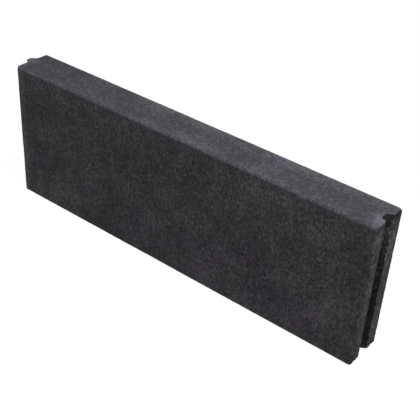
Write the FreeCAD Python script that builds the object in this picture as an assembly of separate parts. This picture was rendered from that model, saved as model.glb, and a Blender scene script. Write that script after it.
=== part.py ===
"""Pressed concrete edging kerb with a tongue on one end and a groove on the other.

Millimetres. X runs along the kerb, from the tongue end to the groove end, Y through its thickness
and Z up. The origin is the middle of the bed, the long narrow face that the kerb stands on.
"""
import FreeCAD, Part
import math
import os

# Body
length = 1000.0            # over the two butt faces, without the tongue
thickness = 100.0
height = 350.0
top_chamfer = 5.0          # 45 degree cut along both long top edges
chamfer_softness = 1.5     # radius where a chamfer meets a face
arris_radius = 2.0         # four upright corners

# Tongue, a rib over the full height of the -X end
tongue_base = 31.0         # width at the butt face
tongue_tip = 13.0
tongue_height = 13.5
tip_radius = 4.5
root_radius = 2.5

# Groove, the same profile sunk into the +X end with room to spare
side_clearance = 2.0       # each side of a tongue pushed home
floor_clearance = 1.5      # ahead of its tip
floor_radius = 6.0
lip_radius = 2.0


def rounded_outline(corners, place):
    """Closed wire through corners (a, b, radius); place turns a pair (a, b) into a point."""
    pairs = [FreeCAD.Vector(a, b, 0) for a, b, _ in corners]
    edges = []
    stops = []
    for i, (_, _, radius) in enumerate(corners):
        corner = pairs[i]
        back = (pairs[i - 1] - corner).normalize()
        ahead = (pairs[(i + 1) % len(pairs)] - corner).normalize()
        if radius == 0:
            stops.append((corner, corner, None))
            continue
        half_angle = back.getAngle(ahead) / 2
        start = corner + back * (radius / math.tan(half_angle))
        end = corner + ahead * (radius / math.tan(half_angle))
        inward = (back + ahead).normalize()
        middle = corner + inward * (radius / math.sin(half_angle) - radius)
        stops.append((start, end, middle))
    for i, (start, end, middle) in enumerate(stops):
        if middle is not None:
            edges.append(Part.Arc(place(start), place(middle), place(end)).toShape())
        next_start = stops[(i + 1) % len(stops)][0]
        edges.append(Part.LineSegment(place(end), place(next_start)).toShape())
    return Part.Wire(edges)


def rib(base, tip, reach, root, crest):
    """Corners of the tongue's profile, from its -Y root to its +Y root, as (out from the end face, y)."""
    return [
        (0, -base / 2, root),
        (reach, -tip / 2, crest),
        (reach, tip / 2, crest),
        (0, base / 2, root),
    ]


def plan_outline():
    """The kerb seen from above: butt ends, tongue and groove."""
    half_length = length / 2
    half_thickness = thickness / 2
    groove = rib(tongue_base + 2 * side_clearance, tongue_tip + 2 * side_clearance,
                 tongue_height + floor_clearance, lip_radius, floor_radius)
    tongue = rib(tongue_base, tongue_tip, tongue_height, root_radius, tip_radius)
    corners = [(-half_length, -half_thickness, arris_radius), (half_length, -half_thickness, arris_radius)]
    corners += [(half_length - inward, y, radius) for inward, y, radius in groove]
    corners += [(half_length, half_thickness, arris_radius), (-half_length, half_thickness, arris_radius)]
    corners += [(-half_length - outward, y, radius) for outward, y, radius in reversed(tongue)]
    return rounded_outline(corners, lambda p: FreeCAD.Vector(p.x, p.y, 0))


def section_outline():
    """The kerb cut across: a flat bed with sharp edges, and chamfered long edges at the top."""
    half_thickness = thickness / 2
    shoulder = height - top_chamfer
    corners = [
        (-half_thickness, 0, 0),
        (half_thickness, 0, 0),
        (half_thickness, shoulder, chamfer_softness),
        (half_thickness - top_chamfer, height, chamfer_softness),
        (top_chamfer - half_thickness, height, chamfer_softness),
        (-half_thickness, shoulder, chamfer_softness),
    ]
    return rounded_outline(corners, lambda p: FreeCAD.Vector(-length, p.x, p.y))


def edging_kerb():
    """One pressed piece: what the plan and the section have in common."""
    upright = Part.Face(plan_outline()).extrude(FreeCAD.Vector(0, 0, height))
    lengthwise = Part.Face(section_outline()).extrude(FreeCAD.Vector(2 * length, 0, 0))
    return upright.common(lengthwise).removeSplitter()


os.makedirs("parts", exist_ok=True)
kerb = edging_kerb().Solids[0]
kerb.exportStep("parts/edging_kerb.step")
print("edging_kerb", "valid" if kerb.isValid() else "NOT VALID", round(kerb.Volume / 1e6, 4), "litres", kerb.BoundBox)
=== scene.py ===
"""A pressed concrete edging kerb with a tongue and a groove, on a pale studio floor.

Metres, in the frame of the solid that it dresses: X along the kerb from tongue to groove, Y through
its thickness, Z up, and the origin in the middle of the bed.
"""
import math

import bpy
from bpy.props import FloatProperty, FloatVectorProperty, IntProperty, PointerProperty
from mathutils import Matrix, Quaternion, Vector


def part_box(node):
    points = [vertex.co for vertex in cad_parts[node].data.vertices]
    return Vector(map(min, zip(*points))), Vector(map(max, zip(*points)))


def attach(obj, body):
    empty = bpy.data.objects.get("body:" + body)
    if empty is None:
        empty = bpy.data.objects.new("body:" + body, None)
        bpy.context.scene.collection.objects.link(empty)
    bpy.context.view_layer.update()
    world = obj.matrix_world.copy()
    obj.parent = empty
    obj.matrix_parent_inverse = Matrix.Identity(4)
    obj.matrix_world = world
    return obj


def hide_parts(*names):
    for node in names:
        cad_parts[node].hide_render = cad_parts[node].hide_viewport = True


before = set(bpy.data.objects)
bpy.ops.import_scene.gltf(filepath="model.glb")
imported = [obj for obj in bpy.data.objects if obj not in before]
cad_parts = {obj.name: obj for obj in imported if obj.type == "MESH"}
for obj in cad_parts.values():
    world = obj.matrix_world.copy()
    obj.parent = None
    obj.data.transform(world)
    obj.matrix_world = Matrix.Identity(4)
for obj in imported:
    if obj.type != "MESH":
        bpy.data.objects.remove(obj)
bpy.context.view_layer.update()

bl_info = {
    "name": "Edging Kerb",
    "version": (1, 0, 0),
    "blender": (4, 5, 0),
    "location": "View3D > Sidebar > Kerb",
    "description": "Builds a pressed concrete edging kerb and the studio floor it stands on",
    "category": "Add Mesh",
}

SOLID = "edging_kerb"
low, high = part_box(SOLID)
MM = 0.001
# What white paint on the open floor throws back under this light, where 1 is white.
OPEN_FLOOR_LIGHT = 0.62

MATH = "ShaderNodeMath"
VECTOR_MATH = "ShaderNodeVectorMath"
MAP_RANGE = "ShaderNodeMapRange"
NOISE = "ShaderNodeTexNoise"
VORONOI = "ShaderNodeTexVoronoi"
MIX = "ShaderNodeMix"


def linear(code):
    """Linear RGBA of an sRGB hex colour."""
    channels = [int(code[i:i + 2], 16) / 255 for i in (1, 3, 5)]
    return [c / 12.92 if c <= 0.04045 else ((c + 0.055) / 1.055) ** 2.4 for c in channels] + [1.0]


def add(tree, kind, sockets=None, **settings):
    """Adds a node with its settings, and gives each named or numbered socket a value or a link."""
    node = tree.nodes.new(kind)
    for name, value in settings.items():
        setattr(node, name, value)
    for key, value in (sockets or {}).items():
        if isinstance(value, bpy.types.Node):
            value = value.outputs[0]
        if isinstance(value, bpy.types.NodeSocket):
            tree.links.new(value, node.inputs[key])
        else:
            node.inputs[key].default_value = value
    return node


def size_of(name, description, default):
    """A size in metres that a user can change."""
    return FloatProperty(
        name=name, description=description, default=default, min=0, precision=4, unit="LENGTH")


def colour_of(name, description, code):
    """A colour that a user can change, given as sRGB hex."""
    return FloatVectorProperty(
        name=name, description=description, default=linear(code), size=4, subtype="COLOR", min=0, max=1)


class KerbForm(bpy.types.PropertyGroup):
    """Sizes of the kerb, the same as those of the solid, and of the wear on its corners and bed."""

    length: size_of("Length", "Over the two butt faces", 2 * high.x)
    thickness: size_of("Thickness", "From side to side", high.y - low.y)
    height: size_of("Height", "From bed to top", high.z - low.z)
    top_chamfer: size_of("Top chamfer", "45 degree cut along both long top edges", 5 * MM)
    chamfer_softness: size_of("Chamfer softness", "Rounding where a chamfer meets a side", 1.5 * MM)
    arris: size_of("Arris", "Small cut on the four upright corners", 1.2 * MM)
    tongue_base: size_of("Tongue base", "Width of the tongue at the butt face", 31 * MM)
    tongue_tip: size_of("Tongue tip", "Width of the tongue at its tip", 13 * MM)
    tongue_height: size_of("Tongue height", "How far the tongue stands out", -low.x - high.x)
    tongue_rounding: size_of("Tongue rounding", "Rounding of its tip", 6 * MM)
    groove_mouth: size_of("Groove mouth", "Width of the groove at the butt face", 35 * MM)
    groove_floor: size_of("Groove floor", "Width of the groove at its floor", 17 * MM)
    groove_depth: size_of("Groove depth", "How far the groove is sunk in", 15 * MM)
    groove_rounding: size_of("Groove rounding", "Rounding of its floor", 5 * MM)
    corner_wear: size_of("Corner wear", "How far the top corners at the groove are knocked back", 2.5 * MM)
    corner_reach: size_of("Corner reach", "How far that wear reaches from such a corner", 9 * MM)
    bed_wear: size_of("Bed wear", "How far the bed's edge at the groove end is crumbled up", 3.0 * MM)
    bed_reach: size_of("Bed reach", "How far that wear reaches from the end", 6 * MM)


class PressedSkin(bpy.types.PropertyGroup):
    """Relief that pressing and stripping leave on the kerb."""

    hollow_depth: size_of("Hollow depth", "Depth of the broad hollows", 0.5 * MM)
    hollow_width: size_of("Hollow width", "From one broad hollow to the next", 110 * MM)
    grain_depth: size_of("Grain depth", "Depth of the close grain on every face", 0.5 * MM)
    grain_width: size_of("Grain width", "From one lump of grain to the next", 9 * MM)
    drag_depth: size_of("Drag depth", "Depth of the upright drag marks", 0.2 * MM)
    drag_width: size_of("Drag width", "From one drag mark to the next", 9 * MM)
    drag_length: size_of("Drag length", "Length of a drag mark", 40 * MM)
    grit_depth: size_of("Grit depth", "Depth of the open grit on the two ends", 1.8 * MM)
    grit_width: size_of("Grit width", "From one lump of grit to the next", 10 * MM)
    chip_depth: size_of("Chip depth", "Depth of the crumbled spots on the edges", 0.6 * MM)
    chip_width: size_of("Chip width", "From one crumbled spot to the next", 16 * MM)
    seed: IntProperty(name="Seed", description="Gives another kerb from the same mould", default=3)


class DyedPaste(bpy.types.PropertyGroup):
    """Colours of the concrete."""

    paste: colour_of("Paste", "Dyed cement paste", "#4d4d4f")
    pale: colour_of("Pale paste", "Where a little lime has come out", "#7f7e82")
    dark: colour_of("Dark paste", "Where the paste is damp or open", "#1b1b1c")
    mauve: colour_of("Mauve tint", "Glaze where iron in the sand tints the dye", "#fff4fe")
    lime: colour_of("Lime tint", "Glaze of the thin bluish film on top and bed", "#f6f7ff")
    warm: colour_of("Warm tint", "Glaze of the bare sand on the open ends", "#fffbf9")
    # Also tints a line of painted shade under the chamfers towards the tongue end.
    violet: colour_of("Violet tint", "Glaze of damp dye at the top of the groove", "#f3f0ff")
    # Paints the brown shade under the top edge of the groove end.
    brown_shade: colour_of("Stain", "Brown run under the top edge of the groove end", "#262320")
    tongue: colour_of("Tongue", "Greenish lime bloom on the tongue and beside it", "#6f7575")
    sand: colour_of("Sand", "Bare sand grains", "#7c7c7e")
    worn: colour_of("Worn edge", "Where the skin has rubbed off", "#6f6e70")
    bruise: colour_of("Bruise", "Where the lip of the groove is knocked pale", "#7b7a85")
    # The same colour paints the shade in the groove.
    pit: colour_of("Pit", "Inside of a pinhole, and of the groove", "#131314")


class Studio(bpy.types.PropertyGroup):
    """Floor and light."""

    floor_size: size_of("Floor size", "Side of the square floor", 60.0)
    floor_colour: colour_of("Floor colour", "Floor and backdrop as the camera sees them", "#ffffff")
    ground_colour: colour_of("Ground colour", "What the floor throws back at the kerb", "#505050")
    shadow: FloatProperty(
        name="Shadow", description="Share of the kerb's shadow that shows", default=0.1, min=0, max=1,
        subtype="FACTOR")
    sky: FloatProperty(
        name="Sky", description="Light from all round, where 1 is white", default=0.45, min=0)
    lamp_power: FloatProperty(
        name="Lamp power", description="Soft box overhead", default=170, min=0, unit="POWER")
    lamp_size: size_of("Lamp size", "Side of the square soft box", 3.6)
    lamp_distance: size_of("Lamp distance", "From the kerb to the soft box", 5.0)


def grade(curve, marks):
    """Bends a curve over -1..1 through marks on both sides of 0: share of the cells, share of the way."""
    for cells, way in marks:
        for side in (-1, 1):
            curve.points.new(side * cells, side * way)
    for point in curve.points:
        point.handle_type = "VECTOR"


def graded_box(tree, form):
    """Nodes of a hollow box of small cells, finer at the edges and on the flanks of tongue and groove.

    Returns the box, and where its points belong on a box of side 2.
    """
    along, across, up = 288, 44, 102        # cells
    fine = 3                                # finer cells beside an edge
    fine_run = 3.5 * MM                     # how far they reach
    counts = {"Vertices X": along + 1, "Vertices Y": across + 1, "Vertices Z": up + 1}
    box = add(tree, "GeometryNodeMeshCube", {"Size": (2, 2, 2), **counts})
    grading = add(tree, "ShaderNodeVectorCurve", {"Vector": add(tree, "GeometryNodeInputPosition")})
    half_floor = form.groove_floor / 2
    half_mouth = form.groove_mouth / 2
    half_thickness = form.thickness / 2
    to_lip = half_floor + math.hypot(form.groove_depth, half_mouth - half_floor)
    to_edge = to_lip + half_thickness - fine_run - half_mouth
    coarse = 1 - 2 * fine / across
    curves = grading.mapping.curves
    grade(curves[0], [(1 - 2 * fine / along, 1 - 2 * fine_run / form.length)])
    grade(curves[1], [
        (coarse * half_floor / to_edge, half_floor / half_thickness),
        (coarse * to_lip / to_edge, half_mouth / half_thickness),
        (coarse, 1 - fine_run / half_thickness),
    ])
    top_cells = fine + 2                    # the chamfer takes more cells, and they reach past it
    top_run = form.top_chamfer * 1.4
    grade(curves[2], [(1 - 2 * top_cells / up, 1 - 2 * top_run / form.height)])
    grading.mapping.update()
    return box, grading


def kerb_tree(form, skin, material):
    """The kerb's Geometry Nodes, and the value of each of its named inputs."""
    values = {"Concrete": material}
    for group in (form, skin):
        for prop in group.bl_rna.properties:
            if prop.type in ("FLOAT", "INT"):
                values[prop.name] = getattr(group, prop.identifier)
    tree = bpy.data.node_groups.new("pressed_kerb", "GeometryNodeTree")
    sockets = {int: "NodeSocketInt", float: "NodeSocketFloat"}
    for name, value in values.items():
        kind = sockets.get(type(value), "NodeSocketMaterial")
        tree.interface.new_socket(name, in_out="INPUT", socket_type=kind)
    tree.interface.new_socket("Kerb", in_out="OUTPUT", socket_type="NodeSocketGeometry")
    given = add(tree, "NodeGroupInput").outputs
    box, grading = graded_box(tree, form)
    formed = kerb_form(tree, given, mark_faces(tree, box), grading)
    skinned = pressed_relief(tree, given, formed)
    smooth = add(tree, "GeometryNodeSetShadeSmooth", {0: skinned})
    real = add(tree, "GeometryNodeRealizeInstances", {0: smooth})
    painted = add(tree, "GeometryNodeSetMaterial", {0: real, "Material": given["Concrete"]})
    add(tree, "NodeGroupOutput", {0: painted})
    return tree, values


def mark_faces(tree, box):
    """Stores which points lie on the two ends, and which on the top and the bed."""
    place = add(tree, "GeometryNodeInputPosition")
    out = add(tree, VECTOR_MATH, {0: place}, operation="ABSOLUTE")
    reach = add(tree, "ShaderNodeSeparateXYZ", {0: out})
    for name, axis in (("end_face", 0), ("level_face", 2)):
        on_face = add(tree, MATH, {0: reach.outputs[axis], 1: 0.9999}, operation="GREATER_THAN")
        box = add(tree, "GeometryNodeStoreNamedAttribute", {0: box, "Name": name, "Value": on_face},
                  data_type="FLOAT", domain="POINT")
    return box


def kerb_form(tree, given, box, grading):
    """Moves the box's points to the kerb's form: chamfers, upright corners, tongue and groove."""
    sides = {0: given["Length"], 1: given["Thickness"], 2: given["Height"]}
    size = add(tree, "ShaderNodeCombineXYZ", sides)
    half = add(tree, VECTOR_MATH, {0: size, "Scale": 0.5}, operation="SCALE")
    place = add(tree, VECTOR_MATH, {0: grading, 1: half}, operation="MULTIPLY")
    half_x, half_y, half_z = add(tree, "ShaderNodeSeparateXYZ", {0: half}).outputs
    x, y, z = add(tree, "ShaderNodeSeparateXYZ", {0: place}).outputs
    reach = add(tree, MATH, {0: x}, operation="ABSOLUTE")

    cuts = []
    for out, edge, cut, softness in ((z, half_z, given["Top chamfer"], given["Chamfer softness"]),
                                     (reach, half_x, given["Arris"], given["Arris"])):
        shoulder = add(tree, MATH, {0: edge, 1: cut}, operation="SUBTRACT")
        beyond = add(tree, MATH, {0: out, 1: shoulder}, operation="SUBTRACT")
        cuts.append(add(tree, MATH, {0: beyond, 1: 0.0, 2: softness}, operation="SMOOTH_MAX"))
    cut = add(tree, MATH, {0: cuts[0], 1: cuts[1]}, operation="MAXIMUM")
    left = add(tree, MATH, {0: half_y, 1: cut}, operation="SUBTRACT")
    share = add(tree, MATH, {0: left, 1: half_y}, operation="DIVIDE")
    new_y = add(tree, MATH, {0: y, 1: share}, operation="MULTIPLY")

    fade_run = 40 * MM                      # over which the cells behind an end give way
    foot_rounding = 2 * MM                  # where a flank meets the butt face
    off_middle = add(tree, MATH, {0: new_y}, operation="ABSOLUTE")
    width = add(tree, MATH, {0: off_middle, 1: 2.0}, operation="MULTIPLY")
    fade_start = add(tree, MATH, {0: half_x, 1: fade_run}, operation="SUBTRACT")
    new_x = x
    shifts = []
    for side, base, tip, rise, rounding in (
            (-1.0, "Tongue base", "Tongue tip", "Tongue height", "Tongue rounding"),
            (1.0, "Groove mouth", "Groove floor", "Groove depth", "Groove rounding")):
        towards = add(tree, MATH, {0: x, 1: side}, operation="MULTIPLY")
        fade = add(tree, MAP_RANGE, {0: towards, 1: fade_start, 2: half_x})
        flank = add(tree, MAP_RANGE, {0: width, 1: given[tip], 2: given[base], 3: given[rise], 4: 0.0},
                    clamp=False)
        crest = add(tree, MATH, {0: flank, 1: given[rise], 2: given[rounding]}, operation="SMOOTH_MIN")
        foot = add(tree, MATH, {0: crest, 1: 0.0, 2: foot_rounding}, operation="SMOOTH_MAX")
        shifts.append(add(tree, MATH, {0: foot, 1: fade}, operation="MULTIPLY"))
        new_x = add(tree, MATH, {0: new_x, 1: shifts[-1]}, operation="SUBTRACT")

    top_start = add(tree, MATH, {0: half_z, 1: fade_run}, operation="SUBTRACT")
    near_top = add(tree, MAP_RANGE, {0: z, 1: top_start, 2: half_z, 3: 0.0, 4: -1.0})
    from_bed = add(tree, MATH, {0: z, 1: half_z}, operation="ADD")
    new_z = add(tree, MATH, {0: near_top, 1: cuts[1], 2: from_bed}, operation="MULTIPLY_ADD")
    bed_start = add(tree, MATH, {0: half_x, 1: given["Bed reach"]}, operation="SUBTRACT")
    crumbled = add(tree, MAP_RANGE, {0: x, 1: bed_start, 2: half_x, 4: given["Bed wear"]},
                   interpolation_type="SMOOTHSTEP")
    near_bed = add(tree, MAP_RANGE, {0: from_bed, 1: fade_run, 2: 0.0})
    new_z = add(tree, MATH, {0: crumbled, 1: near_bed, 2: new_z}, operation="MULTIPLY_ADD")
    new_place = add(tree, "ShaderNodeCombineXYZ", {0: new_x, 1: new_y, 2: new_z})
    for name, shift in zip(("proud", "sunk"), shifts):
        box = add(tree, "GeometryNodeStoreNamedAttribute", {0: box, "Name": name, "Value": shift},
                  data_type="FLOAT", domain="POINT")
    formed = add(tree, "GeometryNodeSetPosition", {0: box, "Position": new_place})
    return worn_corners(tree, given, formed)


def worn_corners(tree, given, kerb):
    """Knocks back the two top corners beside the groove, which carriers grip and set down first."""
    x, y, z = add(tree, "ShaderNodeSeparateXYZ", {0: add(tree, "GeometryNodeInputPosition")}).outputs
    off_middle = add(tree, MATH, {0: y}, operation="ABSOLUTE")
    mirrored = add(tree, "ShaderNodeCombineXYZ", {0: x, 1: off_middle, 2: z})
    half_length = add(tree, MATH, {0: given["Length"], 1: 0.5}, operation="MULTIPLY")
    half_thickness = add(tree, MATH, {0: given["Thickness"], 1: 0.5}, operation="MULTIPLY")
    corner = add(tree, "ShaderNodeCombineXYZ", {0: half_length, 1: half_thickness, 2: given["Height"]})
    away = add(tree, VECTOR_MATH, {0: mirrored, 1: corner}, operation="DISTANCE").outputs["Value"]
    sockets = {0: away, 1: 0.0, 2: given["Corner reach"], 3: given["Corner wear"], 4: 0.0}
    wear = add(tree, MAP_RANGE, sockets, interpolation_type="SMOOTHERSTEP")
    inward = add(tree, MATH, {0: wear, 1: -1 / math.sqrt(3)}, operation="MULTIPLY")
    side = add(tree, MATH, {0: y}, operation="SIGN")
    across = add(tree, MATH, {0: inward, 1: side}, operation="MULTIPLY")
    offset = add(tree, "ShaderNodeCombineXYZ", {0: inward, 1: across, 2: inward})
    return add(tree, "GeometryNodeSetPosition", {0: kerb, "Offset": offset})


def pressed_relief(tree, given, kerb):
    """Sinks hollows, grain, drag marks, grit and crumbled edges into the kerb, and marks its edges."""
    angle = add(tree, "GeometryNodeInputMeshEdgeAngle").outputs["Signed Angle"]
    sharp = add(tree, MAP_RANGE, {0: angle, 1: 0.0, 2: 0.8})
    edge = add(tree, "GeometryNodeBlurAttribute", {"Value": sharp, "Iterations": 2})
    kerb = add(tree, "GeometryNodeStoreNamedAttribute", {0: kerb, "Name": "edge", "Value": edge},
               data_type="FLOAT", domain="POINT")

    at_end, level, edge = (
        add(tree, "GeometryNodeInputNamedAttribute", {"Name": name}, data_type="FLOAT")
        for name in ("end_face", "level_face", "edge"))
    upright = add(tree, MATH, {0: 1.0, 1: level}, operation="SUBTRACT")
    place = add(tree, "GeometryNodeInputPosition")
    flat = add(tree, MATH, {0: given["Drag width"], 1: given["Drag length"]}, operation="DIVIDE")
    squeeze = add(tree, "ShaderNodeCombineXYZ", {0: 1.0, 1: 1.0, 2: flat})
    drawn = add(tree, VECTOR_MATH, {0: place, 1: squeeze}, operation="MULTIPLY")

    depth = 0.0
    for name, where, share, detail, least in (
            ("Hollow", place, 1.0, 1.0, 0.5),
            ("Grain", place, 1.0, 2.0, 0.45),
            ("Drag", drawn, upright, 2.0, 0.45),
            ("Grit", place, at_end, 3.0, 0.5),
            ("Chip", place, edge, 3.0, 0.56)):
        pitch = add(tree, MATH, {0: 1.0, 1: given[name + " width"]}, operation="DIVIDE")
        sockets = {"Vector": where, "W": given["Seed"], "Scale": pitch, "Detail": detail}
        pattern = add(tree, NOISE, sockets, noise_dimensions="4D")
        bitten = add(tree, MAP_RANGE, {0: pattern, 1: least, 2: 0.8})
        deep = add(tree, MATH, {0: bitten, 1: given[name + " depth"]}, operation="MULTIPLY")
        depth = add(tree, MATH, {0: deep, 1: share, 2: depth}, operation="MULTIPLY_ADD")
    inward = add(tree, MATH, {0: depth, 1: -1.0}, operation="MULTIPLY")
    offset = add(tree, VECTOR_MATH, {0: add(tree, "GeometryNodeInputNormal"), "Scale": inward},
                 operation="SCALE")
    return add(tree, "GeometryNodeSetPosition", {0: kerb, "Offset": offset})


def pressed_concrete(dye, form, skin):
    """Semi-dry concrete, dyed anthracite right through, pressed, and stripped from its mould at once.

    It is matt and close grained, with pinholes and bare sand grains, and clouds of lime and iron tint.
    The ends are open and gritty, the groove is painted dark as shade, and edges are paler where the skin is
    rubbed off.
    """
    material = bpy.data.materials.new("pressed_anthracite_concrete")
    material.use_nodes = True
    tree = material.node_tree
    tree.nodes.clear()
    place = add(tree, "ShaderNodeTexCoord").outputs["Object"]
    x, y, z = add(tree, "ShaderNodeSeparateXYZ", {0: place}).outputs
    drag = 0.62                             # stripping draws the pattern out upright, from the top down
    squeeze = (1.0, 1.0, drag)
    start = (0, 0, form.height * (0.75 - drag))
    drawn = add(tree, VECTOR_MATH, {0: place, 1: squeeze, 2: start}, operation="MULTIPLY_ADD")
    at_end, level, edge, proud, sunk = (
        add(tree, "ShaderNodeAttribute", attribute_name=name).outputs["Fac"]
        for name in ("end_face", "level_face", "edge", "proud", "sunk"))

    signed = {}
    for name, where, width, detail, roughness in (
            ("cloud", place, 130 * MM, 2.0, 0.5),
            ("bloom", place, 70 * MM, 3.0, 0.6),
            ("mottle", drawn, 30 * MM, 3.0, 0.7),
            ("grit", place, 11 * MM, 3.0, 0.8),
            ("grain", drawn, 5 * MM, 2.0, 0.8)):    # real sand is 1 to 2 mm, too fine to show
        sockets = {"Vector": where, "W": skin.seed + len(signed), "Scale": 1 / width, "Detail": detail,
                   "Roughness": roughness}
        noise = add(tree, NOISE, sockets, noise_dimensions="4D")
        signed[name] = add(tree, MATH, {0: noise, 1: 0.5}, operation="SUBTRACT")
    grit_pitch = 5 * MM                     # of single grains and pinholes, coarser than real ones too
    cells = add(tree, VORONOI, {"Vector": drawn, "Scale": 1 / grit_pitch})
    kind, other_kind, _ = add(tree, "ShaderNodeSeparateColor", {0: cells.outputs["Color"]}).outputs
    signed["sand"] = add(tree, MATH, {0: kind, 1: 0.5}, operation="SUBTRACT")
    signed["grit"] = add(tree, MATH, {0: signed["grit"], 1: at_end}, operation="MULTIPLY")
    off_middle = add(tree, MATH, {0: y}, operation="ABSOLUTE")
    not_side = add(tree, MATH, {0: level, 1: at_end}, operation="MAXIMUM")
    side = add(tree, MATH, {0: 1.0, 1: not_side}, operation="SUBTRACT")
    half_length = form.length / 2
    half_thickness = form.thickness / 2
    top_right = add(tree, MAP_RANGE, {0: x, 1: -220 * MM, 2: -100 * MM})
    top_right = add(tree, MATH, {0: top_right, 1: level}, operation="MULTIPLY")
    side_left = add(tree, MAP_RANGE, {0: x, 1: half_length, 2: -half_length})
    side_left = add(tree, MATH, {0: side_left, 1: side}, operation="MULTIPLY")
    uppermost = add(tree, MAP_RANGE, {0: z, 1: form.height - 6 * MM, 2: form.height - 3 * MM})
    signed["chamfer"] = add(tree, MATH, {0: uppermost, 1: side}, operation="MULTIPLY")
    # The lime film lies on the top, the bed and the chamfers.
    filmed = add(tree, MATH, {0: signed["chamfer"], 1: level}, operation="MAXIMUM")
    front_rim = add(tree, MAP_RANGE, {0: y, 1: 10 * MM, 2: -35 * MM})
    front_rim = add(tree, MATH, {0: front_rim, 1: filmed}, operation="MULTIPLY")
    from_centre = add(tree, MATH, {0: x}, operation="ABSOLUTE")
    # Broad lighter and darker areas: where each starts and is full, and the face that it lies on.
    for name, reach, start, end, face in (
            ("ends_outer", off_middle, 28 * MM, half_thickness, at_end),
            ("ends_low", z, 150 * MM, 30 * MM, at_end),
            ("ends_high", z, 200 * MM, form.height, at_end),
            ("top_front", y, -26 * MM, -half_thickness, level),
            ("top_back", y, 10 * MM, 38 * MM, top_right),
            ("top_left", x, -250 * MM, -430 * MM, level),
            ("front_middle", from_centre, 240 * MM, 80 * MM, front_rim),
            ("side_high", z, form.height - 80 * MM, form.height - 10 * MM, side_left),
            # The side rim at the tongue end is a painted highlight beside its upright corners.
            ("side_rim_highlight", x, 26 * MM - half_length, 16 * MM - half_length, side)):
        signed[name] = add(tree, MAP_RANGE, {0: reach, 1: start, 2: end})
        signed[name] = add(tree, MATH, {0: signed[name], 1: face}, operation="MULTIPLY")
    signed["film"] = add(tree, MATH, {0: signed["bloom"], 1: level}, operation="MULTIPLY")
    high = add(tree, MAP_RANGE, {0: z, 1: form.height - 110 * MM, 2: form.height - 20 * MM})
    # More of that painted highlight higher up.
    signed["high_rim_highlight"] = add(tree, MATH, {0: signed["side_rim_highlight"], 1: high}, operation="MULTIPLY")
    even = add(tree, MATH, {0: filmed, 1: -0.4, 2: 1.0}, operation="MULTIPLY_ADD")
    signed["mottle"] = add(tree, MATH, {0: signed["mottle"], 1: even}, operation="MULTIPLY")

    tone = 0.0
    for name, share in (
            ("cloud", 0.55), ("mottle", 0.42), ("grain", 1.35), ("sand", 0.2), ("grit", 2.1), ("film", 0.55),
            ("ends_outer", -0.12), ("ends_low", -0.13), ("ends_high", 0.04), ("top_front", 0.09),
            ("top_back", 0.17), ("top_left", -0.09), ("front_middle", 0.09), ("side_high", 0.12),
            ("side_rim_highlight", 0.12), ("high_rim_highlight", 0.07), ("chamfer", 0.05)):
        tone = add(tree, MATH, {0: signed[name], 1: share, 2: tone}, operation="MULTIPLY_ADD")
    # Pressed faces are more even towards the top edges than lower down. The ends are not pressed.
    pressed = add(tree, MATH, {0: 1.0, 1: at_end}, operation="SUBTRACT")
    calm = add(tree, MAP_RANGE, {0: z, 1: form.height - 32 * MM, 2: form.height - 10 * MM, 4: -0.3})
    quiet = add(tree, MATH, {0: calm, 1: pressed, 2: 1.0}, operation="MULTIPLY_ADD")
    tone = add(tree, MATH, {0: tone, 1: quiet, 2: 0.5}, operation="MULTIPLY_ADD")
    ramp = add(tree, "ShaderNodeValToRGB", {0: tone})
    ramp.color_ramp.elements[0].color = dye.dark
    ramp.color_ramp.elements[1].color = dye.pale
    ramp.color_ramp.elements.new(0.5).color = dye.paste

    spot = add(tree, MAP_RANGE, {0: cells.outputs["Distance"], 1: 0.2, 2: 0.45, 3: 1.0, 4: 0.0})
    likely = add(tree, MATH, {0: signed["mottle"], 1: -0.8, 2: other_kind}, operation="MULTIPLY_ADD")
    likely = add(tree, MATH, {0: level, 1: -0.08, 2: likely}, operation="MULTIPLY_ADD")
    has_pit = add(tree, MAP_RANGE, {0: likely, 1: 0.93, 2: 1.05})
    pit = add(tree, MATH, {0: spot, 1: has_pit}, operation="MULTIPLY")
    has_speck = add(tree, MAP_RANGE, {0: likely, 1: 0.0, 2: -0.08})
    speck = add(tree, MATH, {0: spot, 1: has_speck}, operation="MULTIPLY")
    speck = add(tree, MATH, {0: speck, 1: level}, operation="SUBTRACT", use_clamp=True)

    lean = add(tree, MAP_RANGE, {0: z, 1: 0.0, 2: form.height, 3: 0.08, 4: -0.08})
    lean = add(tree, MATH, {0: x, 1: 0.06, 2: lean}, operation="MULTIPLY_ADD")
    mauve = add(tree, MATH, {0: signed["bloom"], 1: lean}, operation="ADD")
    mauve = add(tree, MAP_RANGE, {0: mauve, 1: -0.02, 2: 0.1})
    mauve = add(tree, MATH, {0: mauve, 1: pressed}, operation="MULTIPLY")
    rub_start = half_length - 20 * MM
    rub_full = half_length - 5 * MM
    rub = add(tree, MAP_RANGE, {0: from_centre, 1: rub_start, 2: rub_full, 3: 0.3, 4: 0.95})
    rubbed = add(tree, MATH, {0: edge, 1: rub}, operation="MULTIPLY")
    lip = (half_length - 8 * MM, -17 * MM, form.height)
    to_lip = add(tree, VECTOR_MATH, {0: place, 1: lip}, operation="DISTANCE").outputs["Value"]
    knock = add(tree, MAP_RANGE, {0: to_lip, 1: 42 * MM, 2: 9 * MM})
    knock = add(tree, MATH, {0: knock, 1: 2.0}, operation="POWER")         # it tails off softly
    knock = add(tree, MATH, {0: knock, 1: level}, operation="MULTIPLY")
    strip = add(tree, MAP_RANGE, {0: x, 1: 18 * MM - half_length, 2: 6 * MM - half_length, 4: 0.8})
    strip = add(tree, MATH, {0: strip, 1: level}, operation="MULTIPLY")
    before_tongue = add(tree, MAP_RANGE, {0: y, 1: 16 * MM, 2: -4 * MM})
    strip = add(tree, MATH, {0: strip, 1: before_tongue}, operation="MULTIPLY")
    worn = add(tree, MATH, {0: tone, 1: 0.6, 2: rubbed}, operation="MULTIPLY_ADD")
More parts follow.
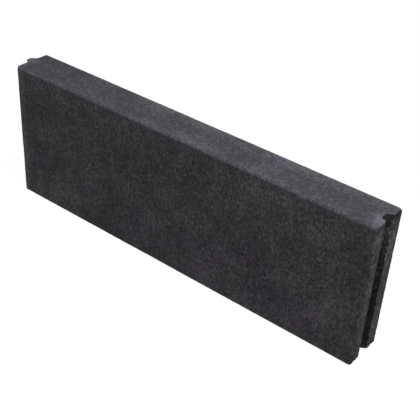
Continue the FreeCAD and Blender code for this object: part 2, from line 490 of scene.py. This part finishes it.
    worn = add(tree, MAP_RANGE, {0: worn, 1: 0.4, 2: 1.4, 4: 0.9})
    broken = add(tree, MAP_RANGE, {0: tone, 1: 0.3, 2: 0.65, 3: 0.3})      # pale films lie on raised grain
    bruise = add(tree, MATH, {0: knock, 1: broken}, operation="MULTIPLY")
    bloomed = add(tree, MAP_RANGE, {0: proud, 1: 3 * MM, 2: 9 * MM})
    bloomed = add(tree, MATH, {0: bloomed, 1: high}, operation="MULTIPLY")
    bloomed = add(tree, MATH, {0: bloomed, 1: strip}, operation="MAXIMUM")
    bloomed = add(tree, MATH, {0: bloomed, 1: broken}, operation="MULTIPLY")
    # Painted shade in the groove: darkest in its floor, lighter towards its top, broken up by grit and
    # grain.
    shaded = add(tree, MAP_RANGE, {0: sunk, 1: 0.4 * MM, 2: 2 * MM, 4: 0.9})
    lit = add(tree, MAP_RANGE, {0: z, 1: form.height - 140 * MM, 2: form.height - 30 * MM, 4: -0.7})
    shaded = add(tree, MATH, {0: shaded, 1: lit}, operation="ADD")
    shaded = add(tree, MATH, {0: signed["grit"], 1: -0.7, 2: shaded}, operation="MULTIPLY_ADD")
    shaded = add(tree, MATH, {0: signed["grain"], 1: -2.0, 2: shaded}, operation="MULTIPLY_ADD")
    deep = add(tree, MAP_RANGE, {0: sunk, 1: 0.3 * MM, 2: 1.2 * MM})
    deep = add(tree, MATH, {0: deep, 1: at_end}, operation="MULTIPLY")
    shaded = add(tree, MATH, {0: shaded, 1: deep}, operation="MULTIPLY", use_clamp=True)

    # A violet tint at the top of the groove, and a line of painted shade, tinted violet, under the chamfers
    # towards the tongue end.
    groove_tint_and_shade_line = add(tree, MAP_RANGE, {0: z, 1: form.height - 100 * MM, 2: form.height - 40 * MM})
    groove_tint_and_shade_line = add(tree, MATH, {0: groove_tint_and_shade_line, 1: deep}, operation="MULTIPLY")
    below_top = add(tree, MATH, {0: form.height - 10 * MM, 1: z}, operation="SUBTRACT")
    off_line = add(tree, MATH, {0: below_top}, operation="ABSOLUTE")
    shade_line = add(tree, MAP_RANGE, {0: off_line, 1: 9 * MM, 2: 4 * MM})
    shade_line = add(tree, MATH, {0: shade_line, 1: side_left}, operation="MULTIPLY")
    off_end = add(tree, MAP_RANGE, {0: x, 1: 20 * MM - half_length, 2: 90 * MM - half_length})
    shade_line = add(tree, MATH, {0: shade_line, 1: off_end}, operation="MULTIPLY")
    groove_tint_and_shade_line = add(tree, MATH, {0: groove_tint_and_shade_line, 1: shade_line}, operation="MAXIMUM")
    # Painted shade, brown, in a band under the top edge of the groove end and in a spot at its rear top
    # corner.
    shade_spot_centre = (half_length, 36 * MM, form.height)
    to_shade_spot = add(tree, VECTOR_MATH, {0: place, 1: shade_spot_centre}, operation="DISTANCE").outputs["Value"]
    shade_spot = add(tree, MAP_RANGE, {0: to_shade_spot, 1: 27 * MM, 2: 14 * MM, 4: 0.92})
    shade_under_edge = add(tree, MAP_RANGE, {0: z, 1: form.height - 18 * MM, 2: form.height - 10 * MM, 4: 0.62})
    brown_shade = add(tree, MATH, {0: shade_spot, 1: shade_under_edge}, operation="MAXIMUM")
    at_groove = add(tree, MATH, {0: x, 1: 0.0}, operation="GREATER_THAN")
    at_groove = add(tree, MATH, {0: at_groove, 1: at_end}, operation="MULTIPLY")
    brown_shade = add(tree, MATH, {0: brown_shade, 1: at_groove}, operation="MULTIPLY")

    colour = ramp
    for share, paint, blend in (
            (mauve, dye.mauve, "MULTIPLY"),
            (filmed, dye.lime, "MULTIPLY"),
            (at_end, dye.warm, "MULTIPLY"),
            (worn, dye.worn, "MIX"),
            (bruise, dye.bruise, "MIX"),
            (bloomed, dye.tongue, "MIX"),
            (speck, dye.sand, "MIX"),
            (pit, dye.pit, "MIX"),
            (shaded, dye.pit, "MIX"),
            (groove_tint_and_shade_line, dye.violet, "MULTIPLY"),
            (brown_shade, dye.brown_shade, "MIX")):
        coat = add(tree, MIX, {0: share, 6: colour, 7: paint}, data_type="RGBA", blend_type=blend)
        colour = coat.outputs[2]

    height = add(tree, MATH, {0: pit, 1: -1.0, 2: signed["grain"]}, operation="MULTIPLY_ADD")
    height = add(tree, MATH, {0: signed["grit"], 1: 2.0, 2: height}, operation="MULTIPLY_ADD")
    bump = add(tree, "ShaderNodeBump", {"Height": height, "Strength": 0.8, "Distance": 1.0 * MM})
    surface = add(tree, "ShaderNodeBsdfPrincipled", {
        "Base Color": colour, "Roughness": 0.92, "IOR": 1.5, "Specular IOR Level": 0.15,
        "Normal": bump})
    add(tree, "ShaderNodeOutputMaterial", {0: surface})
    return material


def as_mesh(piece):
    """Turns the result of the piece's modifiers into its own plain mesh."""
    depsgraph = bpy.context.evaluated_depsgraph_get()
    mesh = bpy.data.meshes.new_from_object(piece.evaluated_get(depsgraph), depsgraph=depsgraph)
    piece.modifiers.clear()
    piece.data = mesh
    mesh.name = piece.name


def floor_paint(studio):
    """Matt pale paint that the camera sees white, less a share of the kerb's shadow."""
    material = bpy.data.materials.new("studio_floor_paint")
    material.use_nodes = True
    tree = material.node_tree
    tree.nodes.clear()
    seen = seen_rays(tree)
    shown = [channel * studio.shadow for channel in studio.floor_colour[:3]] + [1.0]
    colour = add(tree, MIX, {0: seen, 6: studio.ground_colour, 7: shown}, data_type="RGBA")
    paint = add(tree, "ShaderNodeBsdfDiffuse", {"Color": colour.outputs[2]})
    unlit = 1 - OPEN_FLOOR_LIGHT * studio.shadow
    strength = add(tree, MATH, {0: seen, 1: unlit}, operation="MULTIPLY")
    glow = add(tree, "ShaderNodeEmission", {"Color": studio.floor_colour, "Strength": strength})
    both = add(tree, "ShaderNodeAddShader", {0: paint, 1: glow})
    add(tree, "ShaderNodeOutputMaterial", {0: both})
    return material


def seen_rays(tree):
    """Nodes that give 1 to the rays that show a surface, straight, in gloss or through glass."""
    rays = add(tree, "ShaderNodeLightPath").outputs
    seen = add(tree, MATH, {0: rays["Is Camera Ray"], 1: rays["Is Glossy Ray"]}, operation="MAXIMUM")
    return add(tree, MATH, {0: seen, 1: rays["Is Transmission Ray"]}, operation="MAXIMUM").outputs[0]


class KERB_OT_pressed_kerb(bpy.types.Operator):
    """Build the kerb with its tongue, groove, chamfers and pressed skin"""

    bl_idname = "kerb.pressed_kerb"
    bl_label = "Pressed kerb"

    def execute(self, context):
        scene = context.scene
        material = pressed_concrete(scene.kerb_dye, scene.kerb_form, scene.kerb_skin)
        kerb = bpy.data.objects.new("pressed_kerb", bpy.data.meshes.new("pressed_kerb"))
        scene.collection.objects.link(kerb)
        modifier = kerb.modifiers.new("Pressed kerb", "NODES")
        modifier.node_group, values = kerb_tree(scene.kerb_form, scene.kerb_skin, material)
        for item in modifier.node_group.interface.items_tree:
            if item.name in values:
                modifier[item.identifier] = values[item.name]
        as_mesh(kerb)
        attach(kerb, "root")
        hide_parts(SOLID)
        return {"FINISHED"}


class KERB_OT_studio(bpy.types.Operator):
    """Lay the pale floor, and set the soft light and the camera"""

    bl_idname = "kerb.studio"
    bl_label = "Studio"

    def execute(self, context):
        scene = context.scene
        studio = scene.kerb_studio
        self.lay_floor(scene, studio)
        self.light(scene, studio)
        self.set_camera(scene)
        scene.view_settings.view_transform = "Standard"
        return {"FINISHED"}

    def lay_floor(self, scene, studio):
        half = studio.floor_size / 2
        corners = [(-half, -half, 0), (half, -half, 0), (half, half, 0), (-half, half, 0)]
        mesh = bpy.data.meshes.new("studio_floor")
        mesh.from_pydata(corners, [], [(0, 1, 2, 3)])
        mesh.materials.append(floor_paint(studio))
        floor = bpy.data.objects.new("studio_floor", mesh)
        scene.collection.objects.link(floor)

    def light(self, scene, studio):
        lamp = bpy.data.lights.new("soft_box", "AREA")
        lamp.shape = "SQUARE"
        lamp.size = studio.lamp_size
        lamp.energy = studio.lamp_power
        soft_box = bpy.data.objects.new("soft_box", lamp)
        towards = Vector((0.30, -0.12, 0.55)).normalized()
        soft_box.location = towards * studio.lamp_distance
        soft_box.rotation_euler = towards.to_track_quat("Z", "Y").to_euler()
        soft_box.visible_camera = False
        scene.collection.objects.link(soft_box)

        world = bpy.data.worlds.new("studio_air")
        world.use_nodes = True
        tree = world.node_tree
        tree.nodes.clear()
        seen = seen_rays(tree)
        shown = add(tree, "ShaderNodeBackground", {0: studio.floor_colour, 1: 1.0})
        sky = add(tree, "ShaderNodeBackground", {1: studio.sky})
        both = add(tree, "ShaderNodeMixShader", {0: seen, 1: sky, 2: shown})
        add(tree, "ShaderNodeOutputWorld", {0: both})
        scene.world = world

    def set_camera(self, scene):
        azimuth = math.radians(36.480)      # to the right of square on
        elevation = math.radians(35.198)
        roll = math.radians(3.848)
        distance = 2.0211
        aim = Vector((0.07563, 0, 0.11161))
        camera = bpy.data.objects.new("camera", bpy.data.cameras.new("camera"))
        camera.data.lens = 75.622
        camera.data.sensor_width = 36
        camera.data.shift_y = 0.0524        # the photo is cropped off the middle of the lens
        across = math.cos(elevation)
        back = Vector((math.sin(azimuth) * across, -math.cos(azimuth) * across, math.sin(elevation)))
        camera.location = aim + distance * back
        level = (-back).to_track_quat("-Z", "Y")
        camera.rotation_mode = "QUATERNION"
        camera.rotation_quaternion = level @ Quaternion((0, 0, 1), roll)
        scene.collection.objects.link(camera)
        scene.camera = camera


class KERB_PT_panel(bpy.types.Panel):
    """Sizes, finishes and the buttons that build them"""

    bl_idname = "KERB_PT_panel"
    bl_label = "Edging kerb"
    bl_space_type = "VIEW_3D"
    bl_region_type = "UI"
    bl_category = "Kerb"

    def draw(self, context):
        for operator in OPERATORS:
            self.layout.operator(operator.bl_idname)
        for name in GROUPS:
            group = getattr(context.scene, name)
            for prop in group.bl_rna.properties:
                if prop.type in ("FLOAT", "INT"):
                    self.layout.prop(group, prop.identifier)


GROUPS = {"kerb_form": KerbForm, "kerb_skin": PressedSkin, "kerb_dye": DyedPaste, "kerb_studio": Studio}
OPERATORS = (KERB_OT_pressed_kerb, KERB_OT_studio)


def register():
    for cls in (*GROUPS.values(), *OPERATORS, KERB_PT_panel):
        bpy.utils.register_class(cls)
    for name, group in GROUPS.items():
        setattr(bpy.types.Scene, name, PointerProperty(type=group))


def unregister():
    for name in GROUPS:
        delattr(bpy.types.Scene, name)
    for cls in reversed((*GROUPS.values(), *OPERATORS, KERB_PT_panel)):
        bpy.utils.unregister_class(cls)


def main():
    register()
    bpy.ops.kerb.pressed_kerb()
    bpy.ops.kerb.studio()


if __name__ == "__main__":
    main()
